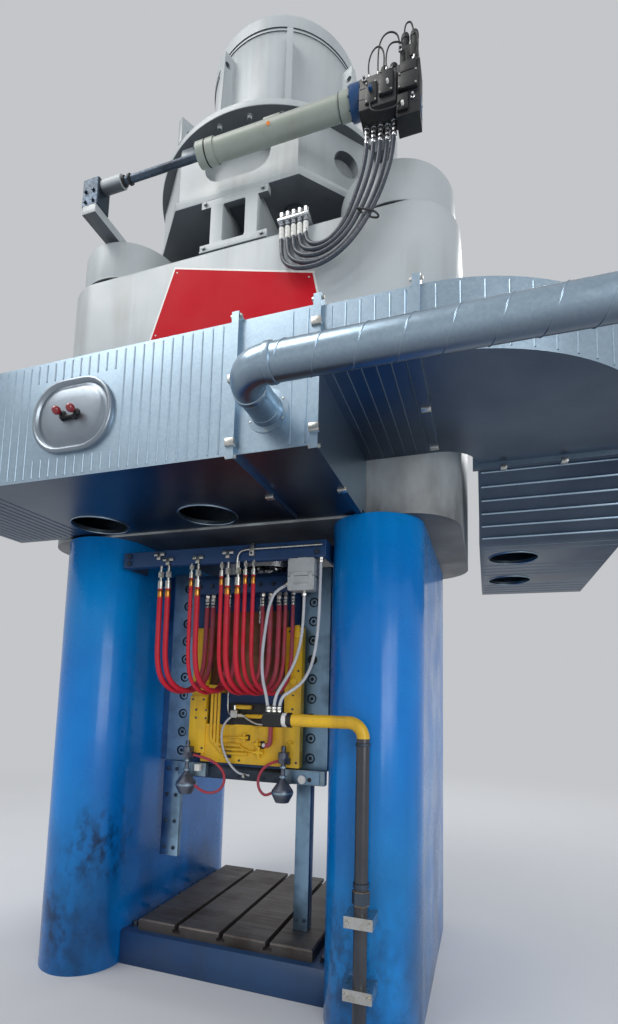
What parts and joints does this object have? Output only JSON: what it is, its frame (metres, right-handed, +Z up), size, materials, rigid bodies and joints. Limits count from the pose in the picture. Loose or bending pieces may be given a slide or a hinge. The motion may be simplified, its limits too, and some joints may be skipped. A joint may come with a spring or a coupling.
{
  "type": "screw press",
  "caption": "Floor-standing screw press: blue round-nosed columns, grey crown with motor drum and cylinder, guided slide with red hoses, and an extraction duct wrapped round it.",
  "frame": {"origin": "the screw's axis at floor level, at the middle of the bed's underside", "axes": "+Z up, +X to the operator's right along the crown, -Y towards the operator's side where the ducts and hoses are"},
  "size_m": [3.585, 3.407, 6.085],
  "materials": {
    "blue_paint": "glossy blue paint, dusty near the floor",
    "dark_blue_paint": "semi-gloss dark blue paint",
    "grey_paint": "semi-gloss warm grey paint",
    "pale_green_paint": "semi-gloss pale grey-green paint",
    "yellow_paint": "worn yellow paint",
    "black_paint": "black coated valves",
    "dark_steel": "oily dark steel",
    "worn_steel": "worn machined steel",
    "bright_steel": "ground steel",
    "plated_steel": "bright zinc plate",
    "cast_aluminium": "cast aluminium",
    "galvanised": "galvanised sheet",
    "red_rubber": "red hose jacket",
    "grey_rubber": "grey and black hose jacket",
    "grey_conduit": "grey flexible conduit"
  },
  "bodies": {
    "frame": {"bed": "dark_steel", "bolster_plate": "worn_steel", "left_column": "blue_paint", "right_column": "blue_paint", "crown": "grey_paint", "column_caps": "grey_paint", "guide_blocks": "blue_paint", "front_gibs": "worn_steel", "rear_gibs": "worn_steel", "screw": "bright_steel", "lower_guides": "dark_steel", "hose_rail": "dark_blue_paint", "hose_fittings": "plated_steel", "junction_box": "cast_aluminium", "service_pipe": "yellow_paint", "pipe_clamps": "cast_aluminium", "drive_pedestal": "grey_paint", "drive_plate": "grey_paint", "drive_housing": "grey_paint", "drive_ring": "grey_paint", "motor_drum": "grey_paint", "drum_cap": "grey_paint", "cylinder_tube": "pale_green_paint", "cylinder_rod": "bright_steel", "cylinder_brackets": "grey_paint", "valve_block": "black_paint", "hose_bulkhead": "grey_paint", "front_duct": "galvanised", "drop_box": "galvanised", "link_duct": "galvanised", "duct_bend": "galvanised", "side_duct": "galvanised", "duct_flanges": "galvanised", "hatch_door": "galvanised", "branch_pipe": "galvanised", "duct_hangers": "galvanised", "drive_hose_1": "grey_rubber", "drive_hose_2": "grey_rubber", "drive_hose_3": "grey_rubber", "drive_hose_4": "grey_rubber", "drive_hose_5": "grey_rubber", "conduit_1": "grey_conduit", "conduit_2": "grey_conduit", "conduit_3": "grey_conduit"},
    "ram": {"slide": "dark_steel", "slide_foot": "dark_steel", "spray_plate": "yellow_paint", "spray_pipes": "yellow_paint", "die_clamps": "worn_steel", "dampers": "dark_steel", "slide_manifold": "dark_steel", "red_hose_1": "red_rubber", "red_hose_2": "red_rubber", "red_hose_3": "red_rubber", "red_hose_4": "red_rubber", "red_hose_5": "red_rubber", "red_hose_6": "red_rubber", "red_hose_7": "red_rubber", "red_hose_8": "red_rubber", "red_hose_9": "red_rubber"}
  },
  "joints": [
    {"name": "ram_slide", "type": "slide", "parent": "frame", "child": "ram", "axis": [0, 0, -1], "range_m": [0, 0.5]}
  ]
}
